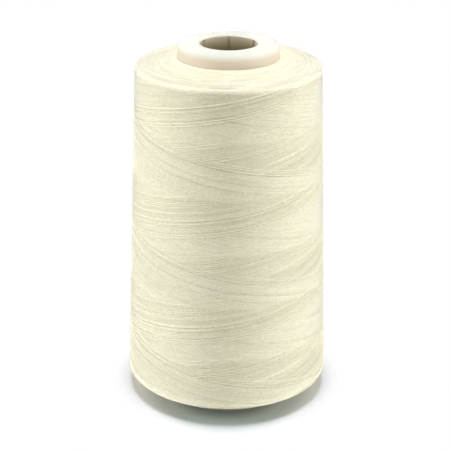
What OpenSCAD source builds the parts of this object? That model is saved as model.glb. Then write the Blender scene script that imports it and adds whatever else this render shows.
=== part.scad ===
// Thread package: one length of thread cross-wound on a moulded plastic cone.
// Millimetres. +Z is up, and the origin is the centre of the cone's base rim.

/* [Cone] */
// Height of the cone, from its base rim to the top of its nose
cone_height = 170; // [140:1:200]
// Half-angle of the cone's side, in degrees
cone_half_angle = 3.5; // [2:0.1:4.5]
// Outer radius of the nose, where its side would meet its top
nose_r = 22.6; // [20:0.1:25]
// Thickness of the cone's side wall
cone_wall = 1.8; // [1.2:0.1:2.4]
// Thickness of the flat top of the nose
nose_plate = 2.2; // [1.6:0.1:3]
// Rounding of the nose's outer edge
nose_edge_r = 2.4; // [0.5:0.1:3]
// Thickness of the foot inside the base rim
foot_wall = 2.8; // [2.5:0.1:4]
// Height of that foot
foot_height = 4; // [2:0.5:8]

/* [Collar] */
// Radius of the bore that goes down through the nose
bore_r = 13; // [9:0.1:15]
// Rounding of the bore's upper edge
bore_edge_r = 0.5; // [0.4:0.1:1.5]
// Thickness of the collar round the bore
collar_wall = 1.6; // [1:0.1:2.4]
// Depth of the collar below the top of the nose
collar_depth = 10; // [6:0.5:16]
// Number of grooves down the wall of the bore
groove_count = 6; // [2:1:8]
// Width of one groove
groove_width = 1; // [0.6:0.1:2]
// Depth of one groove
groove_depth = 0.9; // [0.4:0.1:1.2]

/* [Package] */
// Bare height of the cone below the wound thread
bare_base = 9.4; // [4:0.1:20]
// Height by which the nose stands clear of the wound thread
nose_reveal = 6.1; // [4:0.1:12]
// Height by which the thread's upper end rises from its rim to the nose
end_rise = 3.7; // [1:0.1:8]
// Outer radius of the wound thread at its lower rim
package_low_r = 47.9; // [44:0.1:60]
// Outer radius of the wound thread at its upper rim
package_high_r = 42.2; // [38:0.1:50]
// Rounding of the lower rim
low_rim_r = 0.6; // [0.5:0.1:2.5]
// Rounding of the upper rim
high_rim_r = 1.2; // [0.6:0.1:4]

/* [Thread] */
// Diameter of the thread
thread_d = 0.3; // [0.2:0.05:0.8]
// Traverses, up or down, that are drawn in the outer layer
traverses = 8; // [2:2:8]
// Turns round the cone in one traverse, before the shift that spreads them
traverse_turns = 3; // [2:1:3]
// Distance from the rims at which the thread turns back
turn_back = 4; // [4:0.5:12]
// Clear gap between two turns where they cross
crossing_gap = 0.5; // [0.45:0.05:1]

/* [Hidden] */
$fn = 96;
// Room between the wound thread and what it lies on
seat_clearance = 0.05;
// Amount by which a cutting shape passes the face that it cuts
overcut = 0.5;
// Steps in the arc that rounds a corner
arc_steps = 6;
// Rings in one turn of the tube, and sides of the tube
rings_per_turn = 24;
tube_sides = 6;
// Rings before and after a turn-back over which the thread bends and climbs
bend_rings = 2;
// Radius of the bend that turns each end of the thread into the package
end_bend_r = 0.7;
end_bend_steps = 3;
// Rings by which the last traverse stops short of its turn-back
tail_rings = 2;

// Heights of the wound thread
package_low_z = bare_base;
package_nose_z = cone_height - nose_reveal;
package_high_z = package_nose_z - end_rise;
package_slope = (package_high_r - package_low_r) / (package_high_z - package_low_z);
package_lean = atan(package_slope);

// The chord between two rings sags below the rings by this much
chord_sag = package_low_r * (1 - cos(180 / rings_per_turn));
// Heights of the thread's centre line over the layers under it
low_level = thread_d / 2 + chord_sag + seat_clearance;
level_step = thread_d + crossing_gap;
// The outer layer's depth, which the layers under it leave free
layer_depth = low_level + thread_d / 2;

// The shift spreads the traverses evenly round the cone
rings_per_traverse = rings_per_turn * traverse_turns - round(rings_per_turn / traverses);
last_ring = traverses * rings_per_traverse - tail_rings;
ring_angle = 360 / rings_per_turn;
travel_low_z = package_low_z + turn_back;
travel = package_high_z - turn_back - travel_low_z;

// Outer radius of the cone at height z
function cone_outer_r(z) = nose_r + (cone_height - z) * tan(cone_half_angle);

// Inner radius of the cone at height z
function cone_inner_r(z) = cone_outer_r(z) - cone_wall / cos(cone_half_angle);

// Radius of the layers under the outer turns at height z
function layers_r(z) = package_low_r - layer_depth + (z - package_low_z) * package_slope;

// Direction of a vector
function unit(v) = v / norm(v);

// Arc of radius r that rounds corner b of the path a, b, c
function rounded(a, b, c, r) =
    let (
        to_a = unit(a - b),
        to_c = unit(c - b),
        half = acos(to_a * to_c) / 2,
        centre = b + unit(to_a + to_c) * r / sin(half),
        first = b + to_a * r / tan(half) - centre,
        last = b + to_c * r / tan(half) - centre,
        start = atan2(first.y, first.x),
        sweep = atan2(first.x * last.y - first.y * last.x, first * last)
    )
    [for (i = [0 : arc_steps])
        let (t = start + sweep * i / arc_steps)
        centre + r * [cos(t), sin(t)]];

// Share of a traverse that is done at part f of its rings, eased at both ends
function travel_share(f) =
    let (ease = bend_rings / rings_per_traverse)
    f > 0.5 ? 1 - travel_share(1 - f)
    : f < ease ? f * f / (2 * ease) + ease / 2
    : f;

// Climb towards the other level near a turn-back, half a step at the turn itself
function turn_climb(f) =
    let (rings_away = min(f, 1 - f) * rings_per_traverse)
    max(0, (bend_rings - rings_away) / (2 * bend_rings));

// Height of ring i: even traverses go down and odd ones go up
function ring_z(i) =
    let (
        traverse = floor(i / rings_per_traverse),
        share = travel_share(i / rings_per_traverse - traverse)
    )
    travel_low_z + travel * (traverse % 2 == 0 ? 1 - share : share);

// Height of ring i over the layers: traverses that go up cross over those that go down
function ring_level(i) =
    let (
        traverse = floor(i / rings_per_traverse),
        climb = turn_climb(i / rings_per_traverse - traverse)
    )
    low_level + level_step * (traverse % 2 == 0 ? climb : 1 - climb);

// Centre of ring i of the tube
function ring_centre(i) =
    let (
        z = ring_z(i),
        r = layers_r(z) + ring_level(i)
    )
    [r * cos(i * ring_angle), r * sin(i * ring_angle), z];

// End of the tube at ring i, from the layers outwards: straight for one diameter and
// square to the surface, then a bend that leads along the turn (way 1) or back (way -1)
function tube_end(i, way) =
    let (
        z = ring_z(i),
        a = i * ring_angle,
        out = [cos(a) * cos(package_lean), sin(a) * cos(package_lean), -sin(package_lean)],
        along = way * [-sin(a), cos(a), 0],
        foot = [layers_r(z) * cos(a), layers_r(z) * sin(a), z] + seat_clearance * out,
        knee = foot + thread_d * out
    )
    concat(
        [foot],
        [for (k = [0 : end_bend_steps])
            let (t = 90 * k / end_bend_steps)
            knee + end_bend_r * (sin(t) * out + (1 - cos(t)) * along)]
    );

// List in the opposite order
function backwards(list) = [for (i = [len(list) - 1 : -1 : 0]) list[i]];

// Centre line of the thread's outer turns, from its first end to its last
function thread_route() = concat(
    tube_end(0, 1),
    [for (i = [1 : last_ring - 1]) ring_centre(i)],
    backwards(tube_end(last_ring, -1))
);

// Tangent of a route at its point i
function route_tangent(route, i) =
    i == 0 ? unit(route[1] - route[0])
    : i == len(route) - 1 ? unit(route[i] - route[i - 1])
    : unit(unit(route[i] - route[i - 1]) + unit(route[i + 1] - route[i]));

// Least clear distance between parts of the route that are half a turn or more apart,
// measured on its points and on the middles of its chords
function least_gap(route) =
    let (
        points = [for (i = [0 : len(route) - 2]) each [route[i], (route[i] + route[i + 1]) / 2]],
        apart = rings_per_turn
    )
    min([for (i = [0 : len(points) - 1 - apart])
        min([for (j = [i + apart : len(points) - 1]) norm(points[i] - points[j])])]) - thread_d;

// Closed tube of diameter d along a route that never runs straight up
module tube(route, d) {
    rings = len(route);
    corners = [for (i = [0 : rings - 1])
        let (
            ahead = route_tangent(route, i),
            side = unit(cross([0, 0, 1], ahead)),
            over = cross(ahead, side)
        )
        for (k = [0 : tube_sides - 1])
            let (t = 360 * k / tube_sides)
            route[i] + d / 2 * (cos(t) * side + sin(t) * over)];
    walls = [for (i = [0 : rings - 2], k = [0 : tube_sides - 1])
        let (
            a = i * tube_sides + k,
            b = i * tube_sides + (k + 1) % tube_sides
        )
        each [[a, a + tube_sides, b], [b, a + tube_sides, b + tube_sides]]];
    last = (rings - 1) * tube_sides;
    caps = [for (k = [1 : tube_sides - 2])
        each [[0, k, k + 1], [last, last + k + 1, last + k]]];
    polyhedron(points = corners, faces = concat(walls, caps));
}

// Moulded cone: tapered side, flat nose, grooved collar round the bore and a foot inside
module cone() {
    base_out = [cone_outer_r(0), 0];
    nose_out = [nose_r, cone_height];
    nose_in = [bore_r, cone_height];
    collar_low = cone_height - collar_depth;
    plate_low = cone_height - nose_plate;
    foot_top = foot_height + foot_wall - cone_wall;
    profile = concat(
        [base_out],
        rounded(base_out, nose_out, nose_in, nose_edge_r),
        rounded(nose_out, nose_in, [bore_r, collar_low], bore_edge_r),
        [
            [bore_r, collar_low],
            [bore_r + collar_wall, collar_low],
            [bore_r + collar_wall, plate_low],
            [cone_inner_r(plate_low), plate_low],
            [cone_inner_r(foot_top), foot_top],
            [cone_outer_r(foot_height) - foot_wall, foot_height],
            [cone_outer_r(0) - foot_wall, 0]
        ]
    );
    color([0.94, 0.89, 0.80])
    difference() {
        rotate_extrude() polygon(profile);
        for (k = [0 : groove_count - 1])
            rotate(90 + 360 * k / groove_count)
            translate([bore_r - overcut, -groove_width / 2, collar_low - overcut])
            cube([groove_depth + overcut, groove_width, collar_depth - bore_edge_r + overcut]);
    }
}

// All the layers of thread under the outer turns, as one sleeve on the cone
module wound_layers() {
    low_in = [cone_outer_r(package_low_z) + seat_clearance, package_low_z];
    low_out = [layers_r(package_low_z), package_low_z];
    high_out = [layers_r(package_high_z), package_high_z];
    high_in = [cone_outer_r(package_nose_z) + seat_clearance, package_nose_z];
    profile = concat(
        [low_in],
        rounded(low_in, low_out, high_out, low_rim_r),
        rounded(low_out, high_out, high_in, high_rim_r),
        [high_in]
    );
    color([0.95, 0.93, 0.83])
    rotate_extrude() polygon(profile);
}

// The last traverses of the thread, one unbroken tube that crosses over itself
module outer_turns() {
    route = thread_route();
    echo(str("least gap of the outer turns to themselves: ", least_gap(route), " mm"));
    color([0.97, 0.95, 0.87])
    tube(route, thread_d);
}

cone();
wound_layers();
outer_turns();
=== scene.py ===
"""Looks of a thread cone: fine thread cross-wound on a moulded plastic cone."""

import logging
import math
from dataclasses import dataclass, field, replace
from enum import Enum

import bpy
import numpy as np
from mathutils import Matrix, Vector


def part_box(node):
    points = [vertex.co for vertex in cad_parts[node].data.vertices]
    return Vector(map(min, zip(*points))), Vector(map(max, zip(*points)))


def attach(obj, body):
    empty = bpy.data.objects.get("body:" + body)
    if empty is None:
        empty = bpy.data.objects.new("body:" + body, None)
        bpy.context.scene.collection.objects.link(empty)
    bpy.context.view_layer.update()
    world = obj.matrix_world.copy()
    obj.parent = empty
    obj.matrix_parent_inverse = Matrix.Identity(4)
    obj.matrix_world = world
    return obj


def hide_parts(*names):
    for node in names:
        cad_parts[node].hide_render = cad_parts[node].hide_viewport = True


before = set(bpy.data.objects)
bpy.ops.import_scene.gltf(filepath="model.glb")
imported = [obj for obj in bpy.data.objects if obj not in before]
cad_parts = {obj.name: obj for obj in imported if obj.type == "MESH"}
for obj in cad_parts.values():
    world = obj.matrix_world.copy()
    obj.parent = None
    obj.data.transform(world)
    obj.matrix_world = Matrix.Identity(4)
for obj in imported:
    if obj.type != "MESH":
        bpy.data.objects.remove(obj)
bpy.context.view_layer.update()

MM = 0.001
BODY = "root"
SEED = 20
TURN = 2 * math.pi
LEVEL_DEG = 90.0
TINY = 1e-12
FACE_CORNERS = 4
EVEN_BLEED = (1.0, 1.0, 1.0)

Array = np.ndarray
Piece = bpy.types.Object
Node = bpy.types.Node
Socket = bpy.types.NodeSocket
Colour = tuple[float, float, float]
Feed = Socket | float | tuple[float, ...]

log = logging.getLogger("thread_cone")


class Way(Enum):
    """Which way a traverse carries the thread along the cone."""

    DOWN = -1
    UP = 1


class End(Enum):
    """The two ends of the wound thread."""

    LOWER = "lower"
    UPPER = "upper"


class Ramp(Enum):
    """How a share grows between two places."""

    STRAIGHT = "LINEAR"
    SOFT = "SMOOTHSTEP"


class Blend(Enum):
    """How one colour goes on another."""

    COVER = "MIX"
    STAIN = "MULTIPLY"


def unit_rows(vectors: Array) -> Array:
    """Scales each row to length 1."""
    return vectors / np.maximum(np.linalg.norm(vectors, axis=1, keepdims=True), TINY)


def turned(angle: Array, out: Array, up: Array) -> Array:
    """Gives places round the axis from their angles, 0 at the front and growing to the right."""
    across, back = out * np.sin(angle), -out * np.cos(angle)
    return np.stack([across, back, np.broadcast_to(up, across.shape)], axis=-1)


def quad_object(name: str, points: Array, quads: Array) -> Piece:
    """Makes a smooth mesh object of four-sided faces.

    Args:
        name: Name of the piece.
        points: Corners in millimetres, one row each.
        quads: Four corner numbers per face.

    Returns:
        The new object, linked to the scene.
    """
    mesh = bpy.data.meshes.new(name)
    mesh.vertices.add(len(points))
    mesh.vertices.foreach_set("co", (points * MM).astype(np.float32).ravel())
    mesh.loops.add(quads.size)
    mesh.loops.foreach_set("vertex_index", quads.astype(np.int32).ravel())
    mesh.polygons.add(len(quads))
    mesh.polygons.foreach_set("loop_start", np.arange(0, quads.size, FACE_CORNERS, dtype=np.int32))
    mesh.polygons.foreach_set("use_smooth", np.ones(len(quads), dtype=bool))
    mesh.update(calc_edges=True)
    mesh.validate()
    piece = bpy.data.objects.new(name, mesh)
    bpy.context.scene.collection.objects.link(piece)
    return piece


def blank_material(name: str) -> bpy.types.Material:
    """Makes a material that is ready for its nodes.

    Args:
        name: Name of the finish.

    Returns:
        The new material.
    """
    material = bpy.data.materials.new(name)
    material.use_nodes = True
    return material


@dataclass
class NodeKit:
    """Short calls that make and join the nodes of one material or of the surround."""

    tree: bpy.types.NodeTree

    @property
    def shader(self) -> Node:
        """The material's main shader."""
        return self.tree.nodes["Principled BSDF"]

    def node(self, kind: str) -> Node:
        """Makes a node of one kind."""
        return self.tree.nodes.new(kind)

    def feed(self, socket: Socket, value: Feed) -> None:
        """Gives a socket what it works with.

        Args:
            socket: The socket to feed.
            value: An output, which is linked, or a constant, which is set on the socket itself.
        """
        if isinstance(value, Socket):
            self.tree.links.new(value, socket)
        else:
            socket.default_value = value

    def fill(self, node: Node, values: dict[str, Feed]) -> Node:
        """Feeds several sockets of a node by name.

        Args:
            node: The node.
            values: What each named socket gets.

        Returns:
            The same node.
        """
        for name, value in values.items():
            self.feed(node.inputs[name], value)
        return node

    def work(self, kind: str, operation: str, *values: Feed) -> Node:
        """Makes a node that works something out.

        Args:
            kind: The node's kind, for numbers or for vectors.
            operation: Name of what it works out.
            values: What it starts from, in the order of its sockets.

        Returns:
            The new node.
        """
        node = self.node(kind)
        node.operation = operation
        for socket, value in zip(node.inputs, values):
            self.feed(socket, value)
        return node

    def calc(self, operation: str, *values: Feed) -> Socket:
        """Works out one number from others."""
        return self.work("ShaderNodeMath", operation, *values).outputs[0]

    def length(self, vector: Socket) -> Socket:
        """Measures a vector."""
        return self.work("ShaderNodeVectorMath", "LENGTH", vector).outputs["Value"]

    def split(self, vector: Socket) -> tuple[Socket, ...]:
        """Gives the three numbers of a vector."""
        node = self.fill(self.node("ShaderNodeSeparateXYZ"), {"Vector": vector})
        return tuple(node.outputs)

    def flat(self, x: Socket, y: Socket) -> Socket:
        """Joins two numbers into a vector of height 0."""
        return self.fill(self.node("ShaderNodeCombineXYZ"), {"X": x, "Y": y}).outputs["Vector"]

    def ramp(self, place: Socket, start: float, stop: float, kind: Ramp = Ramp.STRAIGHT) -> Socket:
        """Turns a place into a share from 0 to 1.

        Args:
            place: The number that is looked at.
            start: Where the share is 0.
            stop: Where the share is 1.
            kind: How the share grows between them.

        Returns:
            The output with the share.
        """
        node = self.node("ShaderNodeMapRange")
        node.interpolation_type = kind.value
        return self.fill(node, {"Value": place, "From Min": start, "From Max": stop}).outputs["Result"]

    def mix(self, share: Socket, first: Feed, second: Colour, blend: Blend = Blend.COVER) -> Socket:
        """Puts one colour on another.

        Args:
            share: How much of the second colour goes on.
            first: The colour under it, as an output or as red, green, blue and 1.
            second: The colour that goes on.
            blend: How it goes on.

        Returns:
            The output with the new colour.
        """
        node = self.node("ShaderNodeMix")
        node.data_type = "RGBA"
        node.blend_type = blend.value
        return self.fill(node, {"Factor": share, "A": first, "B": (*second, 1)}).outputs["Result"]

    def noise(self, place: Socket, grain: float, detail: float) -> Socket:
        """Makes an uneven tone, whose grain is measured in the units of its place."""
        node = self.node("ShaderNodeTexNoise")
        return self.fill(node, {"Vector": place, "Scale": 1 / grain, "Detail": detail}).outputs["Fac"]

    def relief(self, height: Socket, strength: float, distance: float) -> None:
        """Gives the main shader a fine relief.

        Args:
            height: Its height as a share.
            strength: How much of it shows.
            distance: Its full height in metres.
        """
        bump = self.node("ShaderNodeBump")
        self.fill(bump, {"Strength": strength, "Distance": distance, "Height": height})
        self.feed(self.shader.inputs["Normal"], bump.outputs["Normal"])

    def bleed(self, reach: float, weight: Feed) -> None:
        """Lets light bleed in the main shader.

        Args:
            reach: How far the light bleeds, in metres.
            weight: How much of the light bleeds.
        """
        self.shader.subsurface_method = "BURLEY"
        values = {"Radius": EVEN_BLEED, "Scale": reach, "Weight": weight}
        self.fill(self.shader, {f"Subsurface {name}": value for name, value in values.items()})


@dataclass
class Section:
    """Half-section of the wound thread in millimetres, as a path up its outside.

    The path's length is 0 where the lower end and the side would meet in a corner. It runs
    below 0 along the lower end, and past side_length along the upper end.
    """

    low_inner_r: float
    low_z: float
    low_r: float
    high_z: float
    high_r: float
    nose_z: float
    nose_r: float
    low_rim_r: float
    high_rim_r: float
    least_rim_r: float = 0.3
    arc_steps: int = 12
    length: Array = field(init=False, repr=False)
    spots: Array = field(init=False, repr=False)
    normals: Array = field(init=False, repr=False)

    def __post_init__(self) -> None:
        """Lays out the path's points, with a round at each rim."""
        corners = np.array([
            (self.low_inner_r, self.low_z), (self.low_r, self.low_z),
            (self.high_r, self.high_z), (self.nose_r, self.nose_z),
        ])
        low = self._round(*corners[0:3], self.low_rim_r)
        high = self._round(*corners[1:4], self.high_rim_r)
        path = np.vstack([corners[:1], low, high, corners[3:]])
        steps = np.linalg.norm(np.diff(path, axis=0), axis=1)
        length = np.concatenate([[0.0], np.cumsum(steps)])
        side_start = np.linalg.norm(low[-1] - corners[1])
        self.length = length - length[len(low)] + side_start
        self.spots = path
        ahead = np.gradient(path, self.length, axis=0)
        self.normals = unit_rows(np.column_stack([ahead[:, 1], -ahead[:, 0]]))

    def _round(self, a: Array, b: Array, c: Array, radius: float) -> Array:
        """Rounds one corner.

        Args:
            a: Point before the corner.
            b: The corner.
            c: Point after the corner.
            radius: Radius of the round.

        Returns:
            Points along the round, from the side of a to the side of c.
        """
        to_a = (a - b) / np.linalg.norm(a - b)
        to_c = (c - b) / np.linalg.norm(c - b)
        half = math.acos(float(np.dot(to_a, to_c))) / 2
        middle = to_a + to_c
        centre = b + middle / np.linalg.norm(middle) * radius / math.sin(half)
        first = b + to_a * radius / math.tan(half) - centre
        last = b + to_c * radius / math.tan(half) - centre
        start = math.atan2(first[1], first[0])
        sweep = math.atan2(first[0] * last[1] - first[1] * last[0], float(np.dot(first, last)))
        turn = start + sweep * np.linspace(0, 1, self.arc_steps + 1)
        return centre + radius * np.column_stack([np.cos(turn), np.sin(turn)])

    @property
    def side_length(self) -> float:
        """Length of the side between its two virtual corners."""
        return math.hypot(self.high_z - self.low_z, self.high_r - self.low_r)

    def radius(self, along: Array | float) -> Array | float:
        """Gives the radius at places along the path."""
        return np.interp(along, self.length, self.spots[:, 0])

    def inset(self, side: float, ends: float) -> "Section":
        """Gives the section of the same thread with its outermost layers taken off.

        Args:
            side: Thickness taken off the side.
            ends: Thickness taken off each end.

        Returns:
            The smaller section.
        """
        return replace(
            self,
            low_z=self.low_z + ends,
            low_r=self.low_r - side,
            high_z=self.high_z - ends,
            high_r=self.high_r - side,
            nose_z=self.nose_z - ends,
            low_rim_r=max(self.low_rim_r - side, self.least_rim_r),
            high_rim_r=max(self.high_rim_r - side, self.least_rim_r),
        )

    def place(self, turns: Array, along: Array, height: Array) -> tuple[Array, Array]:
        """Puts points over the section's surface.

        Args:
            turns: Angle of each point in turns, 0 at the front and growing to the right.
            along: Length of each point along the path.
            height: Height of each point over the surface.

        Returns:
            The points, and the surface's normals there.
        """
        angle = TURN * turns
        normal_r = np.interp(along, self.length, self.normals[:, 0])
        normal_z = np.interp(along, self.length, self.normals[:, 1])
        r = self.radius(along) + height * normal_r
        z = np.interp(along, self.length, self.spots[:, 1]) + height * normal_z
        return turned(angle, r, z), unit_rows(turned(angle, normal_r, normal_z))


@dataclass
class Strand:
    """One visible stretch of thread: its centre line and the surface normals under it."""

    points: Array
    normals: Array
    tone: float
    fullness: float = 1.0


@dataclass
class ThreadMesh:
    """Builds the mesh of many stretches of thread as closed tubes, in millimetres.

    For baking, each step along the thread has a cell on a flat map, with one strip for
    each face. A face fills the two shares of its strip that are given here.
    """

    width: float
    thickness: float
    sides: int = 6
    cells_across_per_down: float = 0.4
    face_length_share: float = 0.98
    face_width_share: float = 0.9

    @property
    def cap_faces(self) -> int:
        """Number of faces that close one end of a tube."""
        return self.sides // 2 - 1

    def build(self, name: str, strands: list[Strand]) -> Piece:
        """Makes one piece of all the stretches.

        Args:
            name: Name of the piece.
            strands: The stretches of thread.

        Returns:
            The new object, with maps for the thread's lay and for baking.
        """
        points, quads, lay, cells, tones = [], [], [], [], []
        offset = 0
        cell = 0
        for strand in strands:
            count = len(strand.points)
            rings = self._rings(strand)
            points.append(rings)
            quads.append(self._faces(count) + offset)
            lay.append(self._lay(strand))
            cells.append(self._cells(count) + cell)
            tones.append(np.full(len(rings), strand.tone))
            offset += len(rings)
            cell += count
        piece = quad_object(name, np.vstack(points), np.vstack(quads))
        self._map(piece, "lay", np.vstack(lay))
        self._map(piece, "OFBake", self._bake_places(np.concatenate(cells), cell))
        tone = piece.data.attributes.new("tone", "FLOAT", "POINT")
        tone.data.foreach_set("value", np.concatenate(tones).astype(np.float32))
        return piece

    def _rings(self, strand: Strand) -> Array:
        """Gives the corners of a stretch's rings.

        Args:
            strand: The stretch.

        Returns:
            The corners, one ring after another.
        """
        ahead = unit_rows(np.gradient(strand.points, axis=0))
        side = unit_rows(np.cross(strand.normals, ahead))
        over = np.cross(ahead, side)
        turn = TURN * np.arange(self.sides) / self.sides
        ring = (self.thickness / 2 * strand.fullness * np.cos(turn)[None, :, None] * over[:, None, :]
                + self.width / 2 * np.sin(turn)[None, :, None] * side[:, None, :])
        return (strand.points[:, None, :] + ring).reshape(-1, 3)

    def _faces(self, count: int) -> Array:
        """Joins the rings of one stretch and closes its ends.

        Args:
            count: Number of rings.

        Returns:
            Four corner numbers per face: the walls, then both caps.
        """
        first = np.arange(count - 1)[:, None] * self.sides
        around = np.arange(self.sides)[None, :]
        beside = (around + 1) % self.sides
        walls = np.stack([
            first + around, first + beside,
            first + self.sides + beside, first + self.sides + around,
        ], axis=-1).reshape(-1, FACE_CORNERS)
        fan = np.array([(0, k, k + 1, k + 2) for k in range(1, self.sides - 1, 2)])
        return np.vstack([walls, fan[:, ::-1], fan + (count - 1) * self.sides])

    def _cells(self, count: int) -> Array:
        """Gives each face of one stretch its cell: one per step, and a last one for the caps."""
        steps = np.repeat(np.arange(count - 1), self.sides)
        return np.concatenate([steps, np.full(2 * self.cap_faces, count - 1)])

    def _lay(self, strand: Strand) -> Array:
        """Maps the faces of one stretch along the thread and round it.

        Args:
            strand: The stretch.

        Returns:
            Length along the thread and share of the way round, for each face corner.
        """
        steps = np.linalg.norm(np.diff(strand.points, axis=0), axis=1)
        run = np.concatenate([[0.0], np.cumsum(steps)])
        near, far = np.repeat(run[:-1], self.sides), np.repeat(run[1:], self.sides)
        low = np.tile(np.arange(self.sides) / self.sides, len(steps))
        walls = self._oblongs(near, low, far, low + 1 / self.sides)
        share = np.tile(np.arange(self.cap_faces) / self.cap_faces, 2)
        caps = np.column_stack([np.repeat(run[[0, -1]], self.cap_faces), share])
        return np.vstack([walls, np.repeat(caps, FACE_CORNERS, axis=0)])

    def _bake_places(self, cells: Array, count: int) -> Array:
        """Gives each face a place of its own on a flat map, in rows along the thread.

        Args:
            cells: Cell of each face.
            count: Number of cells.

        Returns:
            Place of each face corner on the map.
        """
        across = max(1, int(math.sqrt(count * self.cells_across_per_down)))
        down = -(-count // across) * self.sides
        column = cells % across
        order = np.arange(len(cells)) - np.searchsorted(cells, cells)
        row = (cells // across) * self.sides + order % self.sides
        right = (column + self.face_length_share) / across
        high = (row + self.face_width_share) / down
        return self._oblongs(column / across, row / down, right, high)

    @staticmethod
    def _oblongs(left: Array, low: Array, right: Array, high: Array) -> Array:
        """Gives the corners of oblongs on a flat map, four rows for each."""
        corners = ((left, low), (left, high), (right, high), (right, low))
        return np.stack([np.column_stack(corner) for corner in corners], axis=1).reshape(-1, 2)

    @staticmethod
    def _map(piece: Piece, name: str, places: Array) -> None:
        """Adds a map with one place per face corner."""
        layer = piece.data.uv_layers.new(name=name, do_init=False)
        layer.uv.foreach_set("vector", places.astype(np.float32).ravel())


@dataclass
class Traverse:
    """One run of the thread from tip to tip: columns, places along the side and heights."""

    column: Array
    along: Array
    height: Array
    fullness: float


@dataclass
class Winding:
    """The outer layers of thread, wound turn by turn over a smooth package.

    Lengths are in millimetres. Every traverse lays one strand beside the one of the
    traverse before last, so the strands lie in bands. A band's newest strand shows as a
    line, lower on the cone by one pitch at each turn. The surface is kept as heights in
    columns round the cone and rows along its side.
    """

    section: Section
    thread: ThreadMesh
    # The lines that the traverses follow
    pitch: float = 51.3
    traverse_turns: int = 3
    strand_step: float = 0.36
    step_spread: float = 0.05
    step_spread_most: float = 3.0
    gap_share: float = 0.015
    gap_step: float = 0.62
    cycles: float = 2.0
    low_tip: float = 0.7
    tip_spread: float = 0.15
    newest_down_at: float = 117.4
    newest_steps: tuple[float, ...] = (0.75, 1.6, 0.8)
    wander: float = 0.04
    wander_columns: int = 24
    wander_least_knots: int = 4
    # The grid that keeps the surface
    columns: int = 240
    row_step: float = 0.05
    margin: float = 4.0
    # How strands lie on one another
    squeeze: float = 0.8
    loose_traverses: int = 5
    loose_share: float = 0.012
    loose_fullness: float = 2.2
    # Loose strands are painted pale along their length: a painted highlight.
    loose_painted_highlight: float = 3.0
    crowd_reach: tuple[float, float] = (0.0, 6.0)
    crowd_height: tuple[float, float] = (0.3, 1.6)
    ease_rounds: int = 15
    # How hills and hollows settle
    bare_height: float = 0.05
    settle_mm: float = 1.2
    settle_power: int = 8
    settle_least_share: float = 1e-3
    # Which stretches show
    look_shares: tuple[float, ...] = (-0.7, -0.35, 0.0, 0.35, 0.7)
    show_depth: float = 0.04
    show_columns: int = 9
    least_columns: int = 6
    ring_every: int = 3
    # Worked out while winding
    rng: np.random.Generator = field(init=False, repr=False)
    surface: Array = field(init=False, repr=False)
    level: Array = field(init=False, repr=False)
    laid: list[Traverse] = field(init=False, repr=False)

    def __post_init__(self) -> None:
        """Winds the thread."""
        self.rng = np.random.default_rng(SEED)
        rows = int((self.section.side_length + 2 * self.margin) / self.row_step)
        self.surface = np.zeros((self.columns, rows))
        self.laid = []
        paths = self._traverses()
        for order, (column, along) in enumerate(paths):
            newest = order >= len(paths) - self.loose_traverses
            loose = newest or self.rng.uniform() < self.loose_share
            fullness = self.loose_fullness if loose else 1.0
            height = self._lie(column, along, fullness)
            self.laid.append(Traverse(column, along, height, fullness))
        self.level = self._level()

    @property
    def mean_height(self) -> float:
        """Mean height of the finished surface over the package's side."""
        edge = int(self.margin * 2 / self.row_step)
        return float(self.surface[:, edge:-edge].mean())

    @property
    def stroke(self) -> float:
        """Length along the side between the tips of a traverse."""
        return self.section.side_length - 2 * self.low_tip

    @property
    def mean_r(self) -> float:
        """Mean radius of the package's side."""
        return (self.section.low_r + self.section.high_r) / 2

    def _rows(self, along: Array) -> Array:
        """Gives the surface's rows at places along the side."""
        row = np.round((along + self.margin) / self.row_step).astype(int)
        return np.clip(row, 0, self.surface.shape[1] - 1)

    def _level(self) -> Array:
        """Finds the broad hills and hollows of the surface, which winding presses flat.

        Returns:
            Height of the smoothed surface over its mean, in the surface's own cells.
        """
        wound = (self.surface > self.bare_height).astype(float)
        column_mm = TURN * self.mean_r / self.columns
        turn = np.fft.fftfreq(self.columns) / column_mm
        across = np.fft.rfftfreq(self.surface.shape[1]) / self.row_step
        waves = self.settle_mm * np.hypot(turn[:, None], across)
        damping = 1 / (1 + waves ** self.settle_power)
        total = np.fft.irfft2(np.fft.rfft2(self.surface * wound) * damping, self.surface.shape)
        share = np.fft.irfft2(np.fft.rfft2(wound) * damping, self.surface.shape)
        return total / np.maximum(share, self.settle_least_share) - self.mean_height

    def _offsets(self) -> tuple[Array, Array]:
        """Gives the lines that the traverses follow.

        Returns:
            Where each traverse's line meets turn 0, downward ones and upward ones.
        """
        count = int(self.cycles * self.pitch / self.strand_step)
        spread = self.rng.normal(0, 1, count).clip(-self.step_spread_most, self.step_spread_most)
        steps = self.strand_step * (1 + self.step_spread * spread)
        steps[self.rng.uniform(0, 1, count) < self.gap_share] = self.gap_step
        steps[-len(self.newest_steps):] = self.newest_steps
        down = np.cumsum(steps) + np.arange(count) * 2 * self.traverse_turns * self.pitch
        down += self.newest_down_at - down[-1] % self.pitch
        apex = self.low_tip - (2 * self.traverse_turns * self.pitch - 2 * self.stroke) / 4
        up = 2 * apex - down + self.rng.normal(0, self.tip_spread, count)
        return down, up

    def _traverses(self) -> list[tuple[Array, Array]]:
        """Follows the thread down and up the cone.

        Returns:
            Columns and places along the side of each traverse, in the order of winding.
        """
        down, up = self._offsets()
        ease = (self.traverse_turns * self.pitch - self.stroke) / self.pitch * 2
        found = []
        for k in range(1, len(down)):
            top = (down[k] - up[k - 1]) / (2 * self.pitch)
            low = (down[k] - up[k]) / (2 * self.pitch)
            found.append(self._path(Way.DOWN, top, low, down[k], ease))
            if k + 1 < len(down):
                high = (down[k + 1] - up[k]) / (2 * self.pitch)
                found.append(self._path(Way.UP, low, high, up[k], ease))
        return found

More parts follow.
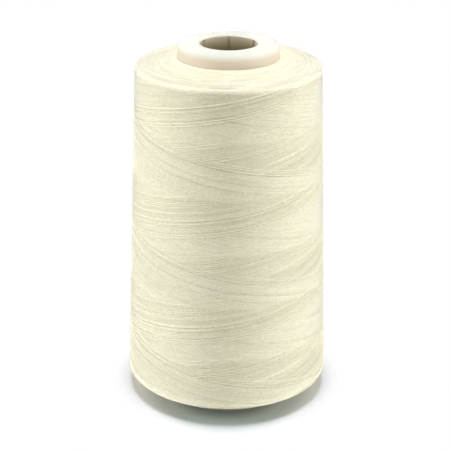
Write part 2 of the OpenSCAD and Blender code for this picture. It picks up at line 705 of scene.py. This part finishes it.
    def _path(
        self, way: Way, start: float, stop: float, offset: float, ease: float,
    ) -> tuple[Array, Array]:
        """Follows one traverse from tip to tip, rounded at both.

        Args:
            way: Up or down.
            start: Turn at which it starts.
            stop: Turn at which it ends.
            offset: Where its line meets turn 0.
            ease: Turns over which a tip is rounded.

        Returns:
            Column numbers, and the place along the side at each.
        """
        column = np.arange(math.ceil(start * self.columns), math.ceil(stop * self.columns))
        turn = column / self.columns
        along = offset + way.value * self.pitch * turn
        for tip, inward in ((start, way.value), (stop, -way.value)):
            away = np.abs(turn - tip)
            near = away < ease / 2
            apex = offset + way.value * self.pitch * tip
            rounded = apex + inward * self.pitch * (ease / 4 + away ** 2 / ease)
            along = np.where(near, rounded, along)
        return column, along + self._wander(len(column))

    def _wander(self, count: int) -> Array:
        """Lets one traverse wander slowly to the sides.

        Args:
            count: Number of its columns.

        Returns:
            Shift along the cone's side at each column.
        """
        knots = max(self.wander_least_knots, count // self.wander_columns)
        values = self.rng.normal(0, self.wander, knots)
        return np.interp(np.linspace(0, knots - 1, count), np.arange(knots), values)

    def _lie(self, column: Array, along: Array, fullness: float) -> Array:
        """Lays one traverse on what is there, taut, and adds it to the surface.

        Args:
            column: Its column numbers.
            along: Its places along the side.
            fullness: Its thickness as a share of a pressed strand's.

        Returns:
            Height of its centre line over the package.
        """
        reach_mm, rise = self.thread.width / 2, self.thread.thickness / 2 * fullness
        reach = int(reach_mm / self.row_step) + 1
        first = np.round((along + self.margin) / self.row_step).astype(int) - reach
        row = np.clip(first[:, None] + np.arange(2 * reach + 1), 0, self.surface.shape[1] - 1)
        apart = row * self.row_step - self.margin - along[:, None]
        ring = column[:, None] % self.columns
        under = self.surface[ring, row]
        share = np.abs(apart) / (self.squeeze * reach_mm)
        half = self.squeeze * rise * np.sqrt(np.maximum(1 - share ** 2, 0))
        contact = np.where(share < 1, under + half, -1.0).max(axis=1)
        rim = np.minimum(along, self.section.side_length - along) - self.low_tip
        room = self.thread.thickness * np.interp(rim, self.crowd_reach, self.crowd_height)
        most = self.mean_height + room
        height = np.minimum(self._taut(np.minimum(contact, most)), most)
        share = np.abs(apart) / reach_mm
        cap = rise * np.sqrt(np.maximum(1 - share ** 2, 0))
        top = np.where(share < 1, height[:, None] + cap, -1.0)
        self.surface[ring, row] = np.maximum(under, top)
        return height

    def _taut(self, contact: Array) -> Array:
        """Pulls a strand taut over the bumps under it.

        Args:
            contact: Least height at each column.

        Returns:
            Height at each column.
        """
        sag = self.mean_r * (TURN / self.columns) ** 2 / 2
        height = contact.copy()
        for _ in range(self.ease_rounds):
            padded = np.concatenate([height[:1], height, height[-1:]])
            height = np.maximum(contact, (padded[:-2] + padded[2:]) / 2 - sag)
        return height

    def strands(self, base: Section) -> list[Strand]:
        """Finds the stretches of thread that show.

        Args:
            base: The package under the winding.

        Returns:
            The stretches, oldest first.
        """
        found = []
        for traverse in self.laid:
            kept = np.convolve(self._shown(traverse), np.ones(self.show_columns), mode="same") > 0
            # Loose strands take a pale tone, a painted highlight; the others a random tone of their own.
            tone = float(self.rng.uniform()) if traverse.fullness == 1.0 else self.loose_painted_highlight
            edges = np.flatnonzero(np.diff(np.concatenate([[0], kept.astype(int), [0]])))
            for start, stop in zip(edges[::2], edges[1::2]):
                if stop - start >= self.least_columns:
                    found.append(self._stretch(traverse, start, stop, base, tone))
        return found

    def _shown(self, traverse: Traverse) -> Array:
        """Tells where a traverse isn't covered by later ones.

        Args:
            traverse: The traverse.

        Returns:
            True at each column where some of its width shows.
        """
        reach_mm = self.thread.width / 2
        rise = self.thread.thickness / 2 * traverse.fullness
        ring = traverse.column % self.columns
        shown = np.zeros(len(ring), dtype=bool)
        for share in self.look_shares:
            top = traverse.height + rise * math.sqrt(1 - share ** 2)
            row = self._rows(traverse.along + share * reach_mm)
            shown |= top > self.surface[ring, row] - self.show_depth
        return shown

    def _stretch(self, traverse: Traverse, start: int, stop: int, base: Section, tone: float) -> Strand:
        """Cuts one stretch out of a traverse and settles it on the package.

        Args:
            traverse: The traverse.
            start: First place in it.
            stop: Place after the last one.
            base: The package under the winding.
            tone: Tone of the stretch.

        Returns:
            The stretch, with a ring at its ends and at every few columns between them.
        """
        inside = np.arange(start + 1, stop - 1)
        inside = inside[traverse.column[inside] % self.ring_every == 0]
        pick = np.concatenate([[start], inside, [stop - 1]])
        column, along = traverse.column[pick], traverse.along[pick]
        settled = traverse.height[pick] - self.level[column % self.columns, self._rows(along)]
        points, normals = base.place(column / self.columns, along, settled)
        return Strand(points, normals, tone, traverse.fullness)


@dataclass
class PackageEnd:
    """One end of the package: short arcs where the thread turned back, layer on layer.

    Lengths are in millimetres. The three bends spread an arc's shift, lean and bow.
    """

    section: Section
    end: End
    width: float
    thickness: float
    side_reach: float = 1.6
    cone_gap: float = 0.3
    nose_gap: float = 0.8
    cover: float = 3.0
    # The arcs' tones are all pale: painted light on both ends of the package.
    tones: tuple[float, float] = (2.8, 3.2)
    arc_mm: tuple[float, float] = (16.0, 40.0)
    bends: tuple[float, float, float] = (0.12, 0.2, 0.15)
    sink_share: float = 0.3
    dip: float = 0.5
    dip_power: int = 4
    ring_mm: float = 3.2
    least_rings: int = 5
    area_steps: int = 60

    def strands(self) -> list[Strand]:
        """Lays arcs until the end is covered.

        Returns:
            The arcs.
        """
        rng = np.random.default_rng(SEED + 1 + list(End).index(self.end))
        lowest, highest = self._reach()
        found = []
        covered, whole = 0.0, self._area(lowest, highest)
        while covered < self.cover * whole:
            along = rng.uniform(lowest, highest)
            r = float(self.section.radius(along))
            if rng.uniform() * self.section.low_r > r:
                continue
            length = rng.uniform(*self.arc_mm)
            share = np.linspace(-1, 1, max(self.least_rings, int(length / self.ring_mm)))
            turns = rng.uniform() + share * length / (2 * TURN * r)
            shift, lean, bow = (rng.normal(0, spread) for spread in self.bends)
            bend = shift + lean * share + bow * share ** 2
            height = rng.uniform(-self.sink_share, 0.0) * self.thickness - self.dip * share ** self.dip_power
            points, normals = self.section.place(turns, along + bend, height - self.thickness / 2)
            found.append(Strand(points, normals, float(rng.uniform(*self.tones))))
            covered += length * self.width
        return found

    def _reach(self) -> tuple[float, float]:
        """Finds the stretch of the section's path that the arcs cover.

        Returns:
            Where it starts and ends along the path.
        """
        if self.end is End.LOWER:
            return float(self.section.length[0]) + self.cone_gap, self.side_reach
        return self.section.side_length - self.side_reach, float(self.section.length[-1]) - self.nose_gap

    def _area(self, lowest: float, highest: float) -> float:
        """Gives the area between two places on the path."""
        r = self.section.radius(np.linspace(lowest, highest, self.area_steps))
        return float(TURN * r.mean() * (highest - lowest))


@dataclass(frozen=True)
class ThreadFinish:
    """Cream spun thread with a twisted lay, in which a little light bleeds."""

    pale: Colour = (0.985, 0.92, 0.695)
    deep: Colour = (0.735, 0.663, 0.447)
    roughness: float = 0.72
    specular: float = 0.3
    sheen: float = 1.0
    sheen_roughness: float = 0.35
    bleed_mm: float = 0.4
    bleed: float = 0.15
    tone_share: float = 0.85
    lay_mm: float = 1.1
    plies: int = 3
    ply_relief: float = 0.5
    ply_depth_mm: float = 0.05
    slub_mm: float = 1.3
    slub_share: float = 0.8
    slub_detail: float = 2.0
    slub_range: tuple[float, float] = (0.3, 0.7)
    strands_apart_mm: float = 400.0

    def material(self) -> bpy.types.Material:
        """Makes the thread's material.

        Returns:
            The material, which reads the lay map and the strand's tone.
        """
        material = blank_material("cream_thread")
        kit = NodeKit(material.node_tree)
        kit.fill(kit.shader, {
            "Roughness": self.roughness,
            "Specular IOR Level": self.specular,
            "Sheen Weight": self.sheen,
            "Sheen Roughness": self.sheen_roughness,
        })
        kit.bleed(self.bleed_mm * MM, self.bleed)
        lay = kit.node("ShaderNodeUVMap")
        lay.uv_map = "lay"
        along, around, _ = kit.split(lay.outputs["UV"])
        ply = self._ply(kit, along, around)
        tone = kit.calc("MULTIPLY", self._tone(kit, along), self.tone_share)
        # The grooves between the plies are painted deeper in colour: painted shade.
        share = kit.calc("MULTIPLY_ADD", ply, 1 - self.tone_share, tone)
        colour = kit.mix(share, (*self.deep, 1), self.pale)
        kit.feed(kit.shader.inputs["Base Color"], colour)
        kit.relief(ply, self.ply_relief, self.ply_depth_mm * MM)
        return material

    def _ply(self, kit: NodeKit, along: Socket, around: Socket) -> Socket:
        """Twists the plies round each other.

        Args:
            kit: The material's nodes.
            along: Length along the thread.
            around: Share of the way round it.

        Returns:
            Height over the grooves between the plies, from 0 to 1.
        """
        twist = kit.calc("ADD", kit.calc("DIVIDE", along, self.lay_mm), around)
        phase = kit.calc("MULTIPLY", twist, math.pi * self.plies)
        return kit.calc("ABSOLUTE", kit.calc("SINE", phase))

    def _tone(self, kit: NodeKit, along: Socket) -> Socket:
        """Blends the strand's own tone with thick and thin places along it.

        Args:
            kit: The material's nodes.
            along: Length along the thread.

        Returns:
            The tone, deep at 0 and pale from 1 on.
        """
        # The tone attribute holds each strand's random tone, and painted light on loose strands and end
        # arcs.
        strand = kit.node("ShaderNodeAttribute")
        strand.attribute_name = "tone"
        own = strand.outputs["Fac"]
        spot = kit.flat(along, kit.calc("MULTIPLY", own, self.strands_apart_mm))
        slub = kit.ramp(kit.noise(spot, self.slub_mm, self.slub_detail), *self.slub_range)
        yarn = kit.node("ShaderNodeMix")
        yarn.data_type = "FLOAT"
        return kit.fill(yarn, {"Factor": self.slub_share, "A": own, "B": slub}).outputs["Result"]


@dataclass(frozen=True)
class PlasticFinish:
    """Warm off-white moulded plastic in which light bleeds.

    Its face is paler than its side, a painted light on the lit top, and the bore goes from a lit
    copy of the plastic at its lip to painted shade deep down. Heights above the table and radii
    are in metres.
    """

    colour: Colour = (0.84, 0.705, 0.53)
    # Painted light: the nose's lit face is paler than the plastic's own colour.
    face: Colour = (0.96, 0.94, 0.83)
    # A lit copy of the plastic at the bore's lip, and painted shade deep down the bore.
    lit_bore_lip: Colour = (0.96, 0.84, 0.58)
    inside: Colour = (0.32, 0.25, 0.10)
    roughness: float = 0.6
    specular: float = 0.3
    bleed_m: float = 0.06
    bleed: float = 0.85
    bore_bleed: float = 0.09
    edge_z: tuple[float, float] = (0.1699, 0.1693)
    # Heights where the painted light on the face and the painted shade down the bore begin and end.
    painted_top_z: float = 0.1699
    painted_top_start_z: float = 0.1670
    bore_shade_start_z: float = 0.1703
    bore_shade_z: float = 0.1622
    bore_r: float = 0.0142
    grain_mm: float = 0.35
    grain_detail: float = 3.0
    grain_relief: float = 0.15
    grain_depth_mm: float = 0.05
    mottle: Colour = (0.97, 0.97, 0.96)

    def material(self) -> bpy.types.Material:
        """Makes the cone's material.

        Returns:
            The material, with a fine moulded grain, painted light on its face and painted shade down the
            bore.
        """
        material = blank_material("cone_plastic")
        kit = NodeKit(material.node_tree)
        kit.fill(kit.shader, {"Roughness": self.roughness, "Specular IOR Level": self.specular})
        place = kit.node("ShaderNodeTexCoord").outputs["Object"]
        x, y, z = kit.split(place)
        within = kit.calc("LESS_THAN", kit.length(kit.flat(x, y)), self.bore_r)
        # Painted light and shade down the bore: a lit copy at its lip, then darker with depth.
        lip = kit.calc("MULTIPLY", within, kit.ramp(z, *self.edge_z))
        bore_shade_share = kit.calc("MULTIPLY", within, kit.ramp(z, self.bore_shade_start_z, self.bore_shade_z, Ramp.SOFT))
        grain = kit.noise(place, self.grain_mm * MM, self.grain_detail)
        # Painted light: the side's colour turns paler towards the lit face.
        skin_with_painted_top = kit.mix(kit.ramp(z, self.painted_top_start_z, self.painted_top_z), (*self.colour, 1), self.face)
        mottled = kit.mix(grain, skin_with_painted_top, self.mottle, Blend.STAIN)
        lit_bore_lip = kit.mix(lip, mottled, self.lit_bore_lip)
        kit.feed(kit.shader.inputs["Base Color"], kit.mix(bore_shade_share, lit_bore_lip, self.inside))
        weight = kit.calc("MULTIPLY_ADD", lip, self.bore_bleed - self.bleed, self.bleed)
        kit.bleed(self.bleed_m, weight)
        kit.relief(grain, self.grain_relief, self.grain_depth_mm * MM)
        return material


@dataclass(frozen=True)
class FloorFinish:
    """White table top that goes over into the white surround away from the object.

    A painted shadow greys it close under the object, darkest in its core at the cone's foot, over
    an oval that is narrower across than from front to back. Radii are in metres.
    """

    colour: Colour = (0.905, 0.90, 0.89)
    # Painted shadow: grey close under the object, darkest in its core at the cone's foot.
    under: Colour = (0.53, 0.575, 0.55)
    shadow_core: Colour = (0.205, 0.24, 0.225)
    roughness: float = 0.9
    specular: float = 0.0
    # Radii where the painted shadow's core ends and where the painted shadow gives way to the table.
    shadow_core_r: float = 0.034
    shadow_outer_r: float = 0.0462
    near_r: float = 0.0455
    far_r: float = 0.058
    # The painted shadow's oval is narrower across than from front to back.
    shadow_narrow: float = 1.3
    white: float = 1.0

    def material(self) -> bpy.types.Material:
        """Makes the floor's material.

        Returns:
            The material: with a painted shadow near the object, and bright white for the camera farther off.
        """
        material = blank_material("white_table")
        kit = NodeKit(material.node_tree)
        kit.fill(kit.shader, {"Roughness": self.roughness, "Specular IOR Level": self.specular})
        place = kit.node("ShaderNodeTexCoord").outputs["Object"]
        pressed = kit.work("ShaderNodeVectorMath", "MULTIPLY", place, (self.shadow_narrow, 1.0, 1.0))
        shadow_oval = kit.length(pressed.outputs["Vector"])
        # Painted shadow: from its dark core out to its grey, then over into the table's own colour.
        start = kit.ramp(shadow_oval, self.shadow_core_r, self.shadow_outer_r, Ramp.SOFT)
        clear = kit.ramp(shadow_oval, self.near_r, self.far_r, Ramp.SOFT)
        painted_shadow = kit.mix(start, (*self.shadow_core, 1), self.under)
        kit.feed(kit.shader.inputs["Base Color"], kit.mix(clear, painted_shadow, self.colour))
        fade = kit.ramp(kit.length(place), self.near_r, self.far_r, Ramp.SOFT)
        path = kit.node("ShaderNodeLightPath")
        seen = kit.calc("MULTIPLY", path.outputs["Is Camera Ray"], fade)
        glow = kit.fill(kit.node("ShaderNodeEmission"), {"Strength": self.white})
        surface = kit.node("ShaderNodeMixShader")
        parts = (seen, kit.shader.outputs["BSDF"], glow.outputs["Emission"])
        for socket, part in zip(surface.inputs, parts):
            kit.feed(socket, part)
        kit.feed(kit.tree.nodes["Material Output"].inputs["Surface"], surface.outputs["Shader"])
        return material


@dataclass(frozen=True)
class Lamp:
    """One soft lamp that faces the object, in degrees, metres and watts."""

    name: str
    azimuth: float
    elevation: float
    distance: float
    size: tuple[float, float]
    watts: float

    def build(self, aim: Vector, tint: Colour) -> None:
        """Makes the lamp.

        Args:
            aim: The spot that it faces.
            tint: Colour of its light.
        """
        turn, rise = math.radians(self.azimuth), math.radians(self.elevation)
        away = Vector((math.cos(rise) * math.sin(turn), -math.cos(rise) * math.cos(turn), math.sin(rise)))
        place = aim + self.distance * away
        data = bpy.data.lights.new(self.name, "AREA")
        data.shape = "RECTANGLE"
        data.size, data.size_y = self.size
        data.energy = self.watts
        data.color = tint
        lamp = bpy.data.objects.new(self.name, data)
        lamp.location = place
        lamp.rotation_euler = (aim - place).to_track_quat("-Z", "Y").to_euler()
        bpy.context.scene.collection.objects.link(lamp)


@dataclass
class Studio:
    """White table, soft lamps and the camera, with lengths in metres where no unit is named."""

    camera_back: float = 0.5605
    camera_up: float = 0.3159
    pitch_deg: float = 22.69
    yaw_deg: float = -0.124
    roll_deg: float = 0.323
    focal_pixels: float = 1281.7
    frame_pixels: float = 450.0
    sensor_mm: float = 36.0
    floor_size: float = 8.0
    aim_height: float = 0.085
    surround_light: float = 0.34
    lamp_tint: Colour = (0.935, 1.0, 1.075)
    lamps: tuple[Lamp, ...] = (
        Lamp("lamp_over", azimuth=0.0, elevation=84.0, distance=1.0, size=(0.38, 0.38), watts=7.3),
        Lamp("lamp_left", azimuth=-88.0, elevation=4.5, distance=0.8, size=(0.22, 0.27), watts=4.5),
        Lamp("lamp_right", azimuth=82.0, elevation=4.5, distance=0.8, size=(0.22, 0.27), watts=4.15),
    )

    def build(self) -> None:
        """Makes the camera, the table, the surround and the lamps."""
        self._camera()
        self._floor()
        self._world()
        for lamp in self.lamps:
            lamp.build(Vector((0, 0, self.aim_height)), self.lamp_tint)

    def _camera(self) -> None:
        """Makes the camera at the photograph's viewing angle."""
        data = bpy.data.cameras.new("camera")
        data.sensor_width = self.sensor_mm
        data.lens = self.focal_pixels / self.frame_pixels * self.sensor_mm
        camera = bpy.data.objects.new("camera", data)
        turn = (Matrix.Rotation(-math.radians(self.yaw_deg), 4, "Z")
                @ Matrix.Rotation(math.radians(LEVEL_DEG - self.pitch_deg), 4, "X")
                @ Matrix.Rotation(math.radians(self.roll_deg), 4, "Z"))
        camera.matrix_world = Matrix.Translation((0, -self.camera_back, self.camera_up)) @ turn
        bpy.context.scene.collection.objects.link(camera)
        bpy.context.scene.camera = camera

    def _floor(self) -> None:
        """Makes the white table top."""
        half = self.floor_size / 2 / MM
        corners = np.array([[-half, -half, 0], [half, -half, 0], [half, half, 0], [-half, half, 0]])
        floor = quad_object("floor", corners, np.array([[0, 1, 2, 3]]))
        floor.data.materials.append(FloorFinish().material())

    def _world(self) -> None:
        """Makes a surround that shows white and lights the object softly."""
        world = bpy.data.worlds.new("surround")
        world.use_nodes = True
        kit = NodeKit(world.node_tree)
        path = kit.node("ShaderNodeLightPath")
        shown = kit.calc("MAXIMUM", path.outputs["Is Camera Ray"], path.outputs["Is Glossy Ray"])
        strength = kit.calc("MULTIPLY_ADD", shown, 1 - self.surround_light, self.surround_light)
        kit.fill(kit.tree.nodes["Background"], {"Color": (1, 1, 1, 1), "Strength": strength})
        bpy.context.scene.world = world


@dataclass
class ThreadPackage:
    """The wound thread: its outer turns, the two ends and the layers under them.

    Lengths are in millimetres. The sleeve is sloped by the lip's width and depth where it
    meets the nose, and its bore is tucked a little into the cone's wall.
    """

    finish: ThreadFinish
    thread_width: float = 0.36
    thread_thickness: float = 0.15
    low_r: float = 47.9
    high_r: float = 42.2
    end_rise: float = 3.7
    low_rim_r: float = 0.5
    high_rim_r: float = 1.0
    taper_deg: float = 3.5
    piece_most_rings: int = 15500
    sleeve_layers: int = 3
    sleeve_sides: int = 180
    lip: tuple[float, float] = (0.25, 0.6)
    tuck: float = 0.02
    sharp_deg: float = 40.0

    def build(self) -> list[Piece]:
        """Builds every piece of the thread.

        Returns:
            The pieces.
        """
        section = self._section()
        material = self.finish.material()
        thread = ThreadMesh(self.thread_width, self.thread_thickness)
        winding = Winding(section, thread)
        log.info("mean height of the winding %.3f mm", winding.mean_height)
        base = section.inset(winding.mean_height, winding.mean_height)
        pieces = self._split(thread, winding.strands(base))
        for end in End:
            arcs = PackageEnd(section, end, self.thread_width, self.thread_thickness).strands()
            pieces.append(thread.build(f"{end.value}_end_turns", arcs))
        under = section.inset(self.sleeve_layers * self.thread_thickness, self.thread_thickness)
        pieces.append(self._sleeve(under))
        for piece in pieces:
            piece.data.materials.append(material)
            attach(piece, BODY)
        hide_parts("wound_layers")
        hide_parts("outer_turns")
        return pieces

    def _section(self) -> Section:
        """Fits the package's half-section to the frame.

        Returns:
            The section of the finished package.
        """
        low, high = (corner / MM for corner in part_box("wound_layers"))
        cone_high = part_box("cone")[1] / MM
        taper = math.tan(math.radians(self.taper_deg))
        return Section(
            low_inner_r=cone_high.x - low.z * taper,
            low_z=low.z,
            low_r=self.low_r,
            high_z=high.z - self.end_rise,
            high_r=self.high_r,
            nose_z=high.z,
            nose_r=cone_high.x - high.z * taper,
            low_rim_r=self.low_rim_r,
            high_rim_r=self.high_rim_r,
        )

    def _split(self, thread: ThreadMesh, strands: list[Strand]) -> list[Piece]:
        """Shares the stretches of thread among pieces of a handy size.

        Args:
            thread: Builder of the meshes.
            strands: The stretches, oldest first.

        Returns:
            The pieces.
        """
        batches, rings = [[]], 0
        for strand in strands:
            if batches[-1] and rings + len(strand.points) > self.piece_most_rings:
                batches.append([])
                rings = 0
            batches[-1].append(strand)
            rings += len(strand.points)
        return [thread.build(f"outer_turns_{k}", batch) for k, batch in enumerate(batches, start=1)]

    def _sleeve(self, section: Section) -> Piece:
        """Builds the layers under the outer turns as one closed sleeve.

        Args:
            section: Half-section of the sleeve's outside.

        Returns:
            The sleeve.
        """
        lip_width, lip_depth = self.lip
        inner = np.array([
            [section.nose_r + lip_width, section.nose_z],
            [section.nose_r, section.nose_z - lip_depth],
            [section.low_inner_r, section.low_z],
        ])
        path = np.vstack([section.spots[:-1], inner - [self.tuck, 0]])
        around, spots = np.arange(self.sleeve_sides)[:, None], np.arange(len(path))[None, :]
        points = turned(TURN * around / self.sleeve_sides, path[:, 0], path[:, 1]).reshape(-1, 3)
        here = around * len(path)
        beside = (around + 1) % self.sleeve_sides * len(path)
        after = (spots + 1) % len(path)
        quads = np.stack([here + spots, beside + spots, beside + after, here + after], axis=-1)
        body = quad_object("wound_layers_body", points, quads.reshape(-1, FACE_CORNERS))
        body.data.set_sharp_from_angle(angle=math.radians(self.sharp_deg))
        return body


@dataclass
class PlasticCone:
    """The moulded cone, which keeps its CAD shape."""

    finish: PlasticFinish

    def dress(self) -> Piece:
        """Gives the cone its finish.

        Returns:
            The cone's object.
        """
        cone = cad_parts["cone"]
        cone.data.materials.clear()
        cone.data.materials.append(self.finish.material())
        return cone


def main() -> None:
    """Builds the scene in order and reports each piece."""
    logging.basicConfig(level=logging.INFO, format="%(message)s")
    bpy.context.scene.view_settings.view_transform = "Standard"
    Studio().build()
    for piece in ThreadPackage(ThreadFinish()).build():
        log.info("%s: %d faces", piece.name, len(piece.data.polygons))
    cone = PlasticCone(PlasticFinish()).dress()
    log.info("%s: %d faces", cone.name, len(cone.data.polygons))


if __name__ == "__main__":
    main()
